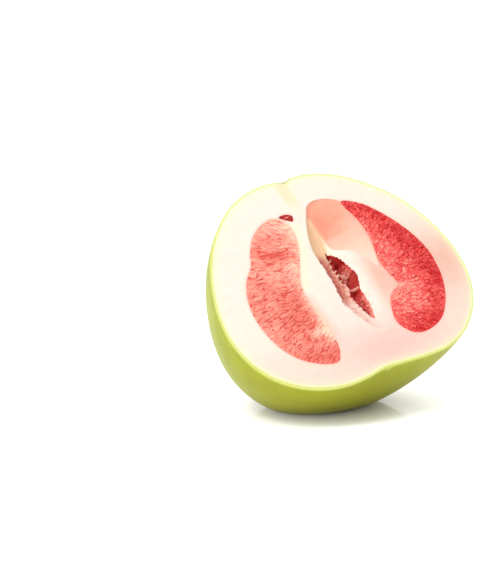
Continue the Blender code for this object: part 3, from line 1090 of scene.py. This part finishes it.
# Patches of tone on a segment: how much paler, then middle and width across, middle and height
leftPatches = [(-0.22, -31, 7, 33, 2.4), (0.20, -24, 12, 40, 7), (0.14, -26, 10, 10, 8),
               (0.18, -14, 6, 34, 8), (0.45, -29, 6, -34, 2.6), (0.22, -24, 4, -32, 9),
               (-0.22, -38, 14, -22, 20)]
rightPatches = [(0.24, 46, 16, -34, 13), (0.25, 36, 5, -19.5, 3), (0.16, 37, 5, 27, 9)]


def patchTone(x, z, patches):
    return sum(amount * hump(x, middleX, wide) * hump(z, middleZ, high)
               for amount, middleX, wide, middleZ, high in patches)


def leftTone(points):
    x, z = points.T
    inner = distanceTo(points, [(-11, 39), (-13, 25), (-20, 8), (-24.5, -2), (-24.5, -14),
                                (-22, -25), (-21.8, -40)], False)
    tone = 0.50 + 0.24 * hump(inner, 0, 4.5) + 0.10 * ripple(points, 9.0, 2.0)
    tone += patchTone(x, z, leftPatches)
    # one redder band slopes down to the right
    tone -= 0.42 * hump(x, -30, 9) * hump(z, 22 - 0.22 * (x + 32), 2.4)
    tone += 0.34 * hump(inner, 0, 2.6) * hump(z, -24, 14)
    return tone - 0.20 * (1 - smoothStep(-50, -38, z))


def rightTone(points):
    x, z = points.T
    outer = distanceTo(points, [(29, 45), (42, 39.2), (56.7, 21.4), (66, -1), (64.6, -24.6),
                                (50, -48), (38, -52.9)], False)
    tone = 0.22 + 0.40 * smoothStep(3, 24, outer) + 0.12 * ripple(points, 8.0, 9.0)
    return tone + patchTone(x, z, rightPatches) + 0.04 * smoothStep(30, 44, z)


def upperTone(points):
    strand = nearLine(points, [(-14, 43.2), (-8.5, 44.6)], 0.5)
    return 0.05 + 0.7 * strand + 0.2 * ripple(points, 4.0, 6.0)


def coreTone(points):
    x, z = points.T
    rimShare = hump(distanceTo(points, loops["core"]), 0, 0.7)
    # painted shade over the pulp's own crimson: darkest deep in the upper chamber, paler on the
    # raised lump and in the shallower lower chamber
    tone = 0.19 + 0.80 * hump(x, 9.0, 3.1) * hump(z, -1.6, 5.5)
    tone += rimShare * (0.34 * (1 - smoothStep(-14, -8, z)) - 0.12)
    tone += 0.34 * (1 - smoothStep(-20, -14, z))
    return tone + 0.22 * ripple(points, 2.6, 6.0)


buildFlesh("leftSegment", "left", "left_segment", 4, salmonSacs, leftTone)
buildFlesh("rightSegment", "right", "right_segment", 5, redSacs, rightTone)
buildFlesh("upperSegment", "upper", "upper_segment", 6, crimsonSacs, upperTone)
buildFlesh("corePulp", "core", "core_pulp", 7, crimsonSacs, coreTone)
print("flesh done")


# Floor, light and camera

# Camera in mm and degrees; floor, light and lamp in metres
studio = {"distance": 1200.0, "elevation": 10.0, "focal": 129.6, "sensor": 36.0,
          "faceRight": 50.35, "faceUp": 4.9,
          "behind": 1.03, "before": 0.33, "fadeFrom": -0.74, "fadeTo": -0.04,
          "keyPower": 16.0, "keySize": 0.8, "keyPlace": (-0.65, -0.55, 1.35), "keyAim": (0, 0, 0.06),
          "floorHalf": 30.0, "floorWhite": 0.88, "mirrorBlur": 0.07, "middle": (-0.004, 0.0, 0.0),
          "glossNear": 0.02, "glossFar": 0.085, "glowNear": 0.012, "glowFar": 0.09, "glow": 0.68}


def floorMaterial():
    # white acrylic sheet: a mirror under the fruit that gives way to plain white, glowing away from
    # it
    material = bpy.data.materials.new("whiteAcrylic")
    material.use_nodes = True
    tree = material.node_tree
    tree.nodes.clear()
    place = addNode(tree, "ShaderNodeTexCoord")
    offset = addNode(tree, "ShaderNodeVectorMath",
                     {0: place.outputs["Object"], 1: studio["middle"]}, operation="SUBTRACT")
    away = addNode(tree, "ShaderNodeVectorMath", {0: offset}, operation="LENGTH")
    shine = addNode(tree, "ShaderNodeMapRange",
                    {"Value": away, "From Min": studio["glossNear"],
                     "From Max": studio["glossFar"], "To Min": 1.0, "To Max": 0.0},
                    interpolation_type="SMOOTHSTEP")
    facing = addNode(tree, "ShaderNodeFresnel", {"IOR": 1.45})
    share = addNode(tree, "ShaderNodeMath", {0: shine, 1: facing}, operation="MULTIPLY")
    matte = addNode(tree, "ShaderNodeBsdfDiffuse", {"Color": (*[studio["floorWhite"]] * 3, 1)})
    mirror = addNode(tree, "ShaderNodeBsdfGlossy", {"Color": (1, 1, 1, 1),
                                                    "Roughness": studio["mirrorBlur"]})
    both = addNode(tree, "ShaderNodeMixShader", {0: share, 1: matte, 2: mirror})
    # painted light: away from the fruit the sheet glows, which fills in the fruit's cast shadow
    glow = addNode(tree, "ShaderNodeMapRange",
                   {"Value": away, "From Min": studio["glowNear"],
                    "From Max": studio["glowFar"], "To Min": 0.0, "To Max": studio["glow"]},
                   interpolation_type="SMOOTHSTEP")
    lit = addNode(tree, "ShaderNodeEmission", {"Strength": glow})
    whole = addNode(tree, "ShaderNodeAddShader", {0: both, 1: lit})
    addNode(tree, "ShaderNodeOutputMaterial", {"Surface": whole})
    return material


def buildFloor():
    mesh = bpy.data.meshes.new("floor")
    half = studio["floorHalf"]
    mesh.from_pydata([(-half, -half, 0), (half, -half, 0), (half, half, 0), (-half, half, 0)],
                     [], [(0, 1, 2, 3)])
    floor = bpy.data.objects.new("floor", mesh)
    bpy.context.scene.collection.objects.link(floor)
    mesh.materials.append(floorMaterial())


def buildLight():
    # a white sweep behind the fruit, a darker room in front of it, and one soft lamp
    world = bpy.data.worlds.new("studio")
    bpy.context.scene.world = world
    world.use_nodes = True
    sky = world.node_tree
    place = addNode(sky, "ShaderNodeTexCoord")
    parts = addNode(sky, "ShaderNodeSeparateXYZ", {"Vector": place.outputs["Generated"]})
    level = addNode(sky, "ShaderNodeMapRange",
                    {"Value": parts.outputs["Y"], "From Min": studio["fadeFrom"],
                     "From Max": studio["fadeTo"], "To Min": studio["before"],
                     "To Max": studio["behind"]}, interpolation_type="SMOOTHSTEP")
    feed(sky, sky.nodes["Background"], {"Strength": level, "Color": (1, 1, 1, 1)})
    light = bpy.data.lights.new("softKey", "AREA")
    light.size = studio["keySize"]
    light.energy = studio["keyPower"]
    lamp = bpy.data.objects.new("softKey", light)
    lamp.location = studio["keyPlace"]
    aim = Vector(studio["keyAim"]) - lamp.location
    lamp.rotation_euler = aim.to_track_quat("-Z", "Y").to_euler()
    bpy.context.scene.collection.objects.link(lamp)
    bpy.context.scene.view_settings.view_transform = "Standard"


def buildCamera():
    lift = radians(studio["elevation"])
    right = Vector((1, 0, 0))
    up = Vector((0, sin(lift), cos(lift)))
    towards = Vector((0, -cos(lift), sin(lift)))
    middle = Vector(toFrame([[0, 0, 0]])[0])
    place = middle + (towards * studio["distance"] - right * studio["faceRight"]
                      - up * studio["faceUp"]) * mm
    data = bpy.data.cameras.new("camera")
    data.lens = studio["focal"]
    data.sensor_width = studio["sensor"]
    data.clip_end = 100
    camera = bpy.data.objects.new("camera", data)
    axes = Matrix((right, up, towards)).transposed()
    camera.matrix_world = Matrix.Translation(place) @ axes.to_4x4()
    bpy.context.scene.collection.objects.link(camera)
    bpy.context.scene.camera = camera


buildFloor()
buildLight()
buildCamera()
print("stage and camera done")
